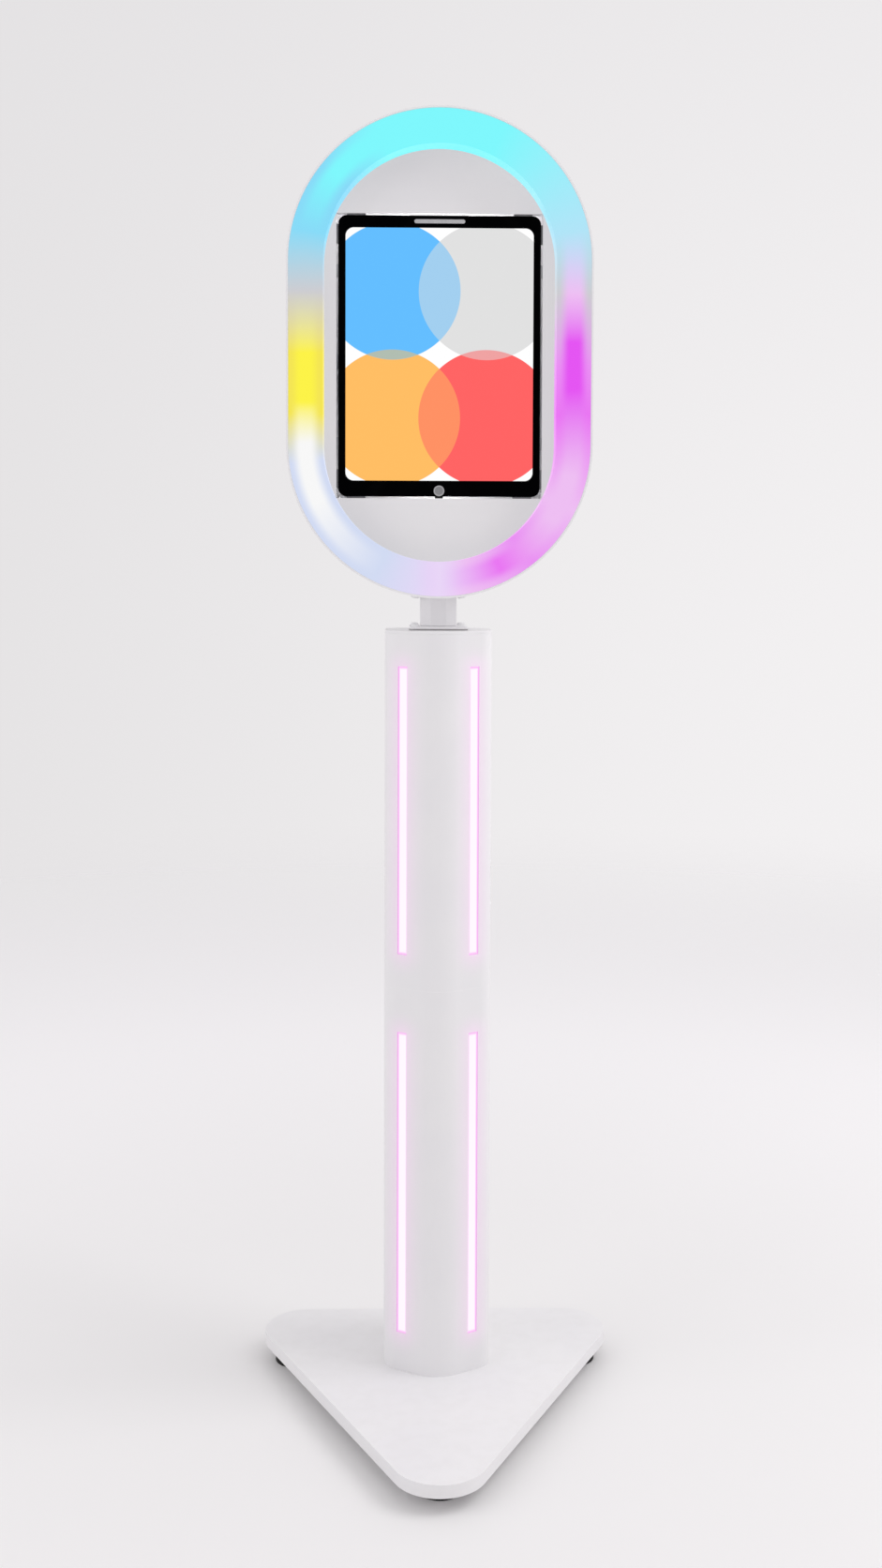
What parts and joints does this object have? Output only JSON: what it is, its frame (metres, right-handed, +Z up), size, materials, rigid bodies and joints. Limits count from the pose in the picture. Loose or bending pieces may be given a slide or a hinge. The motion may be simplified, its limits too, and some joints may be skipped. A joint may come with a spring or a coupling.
{
  "type": "photo booth",
  "caption": "Free-standing photo booth: an upright oval head with a light ring round a tablet, on a short neck, a lit two-section column and a triangular base with levelling feet.",
  "frame": {"origin": "on the floor under the middle of the base plate's box", "axes": "+Z up, -Y towards the person in front of the tablet, +X to that person's right"},
  "size_m": [0.4, 0.394, 1.429],
  "materials": {
    "white_powder_coat": "matt white powder coat with a very fine texture",
    "ring_opal_acrylic": "opal acrylic, satin, lit from behind in changing colours",
    "pink_opal_acrylic": "opal acrylic, satin, lit from behind in pink",
    "zinc_hardware": "bright zinc plated steel",
    "black_rubber": "matt black rubber and foam",
    "black_plastic": "moulded black plastic, fine spark texture",
    "bare_aluminium": "bead blasted and anodised aluminium",
    "circuit_board": "white solder mask with soldered lamps",
    "tablet_front": "polished cover glass with a black printed border over a lit screen",
    "tablet_screen": "display panel",
    "grey_trim": "grey moulded plastic and fine mesh"
  },
  "bodies": {
    "stand": {"base_plate": "white_powder_coat", "foot_inserts": "zinc_hardware", "foot_lock_nuts": "zinc_hardware", "column_foot_plate": "zinc_hardware", "base_bolts": "zinc_hardware", "lower_column": "white_powder_coat", "upper_column": "white_powder_coat", "joint_spigot": "zinc_hardware", "spigot_screws": "zinc_hardware", "column_cap": "white_powder_coat", "lower_left_diffuser": "pink_opal_acrylic", "lower_right_diffuser": "pink_opal_acrylic", "upper_left_diffuser": "pink_opal_acrylic", "upper_right_diffuser": "pink_opal_acrylic", "light_channels": "bare_aluminium", "light_strips": "circuit_board", "inlet_plate": "black_plastic", "inlet_plate_screws": "zinc_hardware", "power_inlet": "black_plastic", "switch_body": "black_plastic", "power_lead": "black_rubber", "flange_gasket": "black_rubber", "neck_flange": "white_powder_coat", "flange_screws": "zinc_hardware", "neck_tube": "white_powder_coat", "neck_saddle": "zinc_hardware", "saddle_screws": "zinc_hardware", "head_shell": "white_powder_coat", "inner_panel": "white_powder_coat", "panel_screws": "zinc_hardware", "ring_diffuser": "ring_opal_acrylic", "ring_light_board": "circuit_board", "ring_lights": "circuit_board", "light_controller": "black_plastic", "charge_lead": "black_rubber", "tablet_body": "bare_aluminium", "tablet_display": "tablet_screen", "tablet_glass": "tablet_front", "tablet_speaker": "grey_trim", "tablet_brackets": "white_powder_coat", "tablet_pads": "black_rubber", "retainer_bars": "bare_aluminium", "thumb_screws": "zinc_hardware", "hinge_pins": "zinc_hardware"},
    "foot_left": {"foot_stud_left": "zinc_hardware", "foot_pad_left": "black_rubber"},
    "foot_right": {"foot_stud_right": "zinc_hardware", "foot_pad_right": "black_rubber"},
    "foot_front": {"foot_stud_front": "zinc_hardware", "foot_pad_front": "black_rubber"},
    "door": {"rear_door": "white_powder_coat", "hinge_leaves": "zinc_hardware", "hinge_screws": "zinc_hardware", "door_lock": "zinc_hardware"},
    "lock": {"lock_cylinder": "zinc_hardware"},
    "home_key": {"home_button": "grey_trim"},
    "power_button": {"power_key": "bare_aluminium"},
    "volume_up": {"volume_up_key": "bare_aluminium"},
    "volume_down": {"volume_down_key": "bare_aluminium"},
    "switch": {"switch_rocker": "black_plastic"}
  },
  "joints": [
    {"name": "foot_left_height", "type": "slide", "parent": "stand", "child": "foot_left", "axis": [0, 0, -1], "range_m": [0, 0.008]},
    {"name": "foot_right_height", "type": "slide", "parent": "stand", "child": "foot_right", "axis": [0, 0, -1], "range_m": [0, 0.008]},
    {"name": "foot_front_height", "type": "slide", "parent": "stand", "child": "foot_front", "axis": [0, 0, -1], "range_m": [0, 0.008]},
    {"name": "door_swing", "type": "hinge", "parent": "stand", "child": "door", "pos_m": [0.1628, 0.1156, 1.163], "axis": [0, 0, -1], "range_deg": [0, 110]},
    {"name": "lock_turn", "type": "hinge", "parent": "door", "child": "lock", "pos_m": [-0.123, 0.1123, 1.163], "axis": [0, 1, 0], "range_deg": [0, 90]},
    {"name": "home_press", "type": "slide", "parent": "stand", "child": "home_key", "axis": [0, 1, 0], "range_m": [0, 0.0004], "stiffness_N_per_m": 500},
    {"name": "power_press", "type": "slide", "parent": "stand", "child": "power_button", "axis": [0, 0, -1], "range_m": [0, 0.0004], "stiffness_N_per_m": 500},
    {"name": "volume_up_press", "type": "slide", "parent": "stand", "child": "volume_up", "axis": [-1, 0, 0], "range_m": [0, 0.0004], "stiffness_N_per_m": 500},
    {"name": "volume_down_press", "type": "slide", "parent": "stand", "child": "volume_down", "axis": [-1, 0, 0], "range_m": [0, 0.0004], "stiffness_N_per_m": 500},
    {"name": "switch_toggle", "type": "hinge", "parent": "stand", "child": "switch", "pos_m": [-0.0352, 0.13442, 0.104], "axis": [0.866, 0.5, 0], "range_deg": [0, 16]}
  ]
}
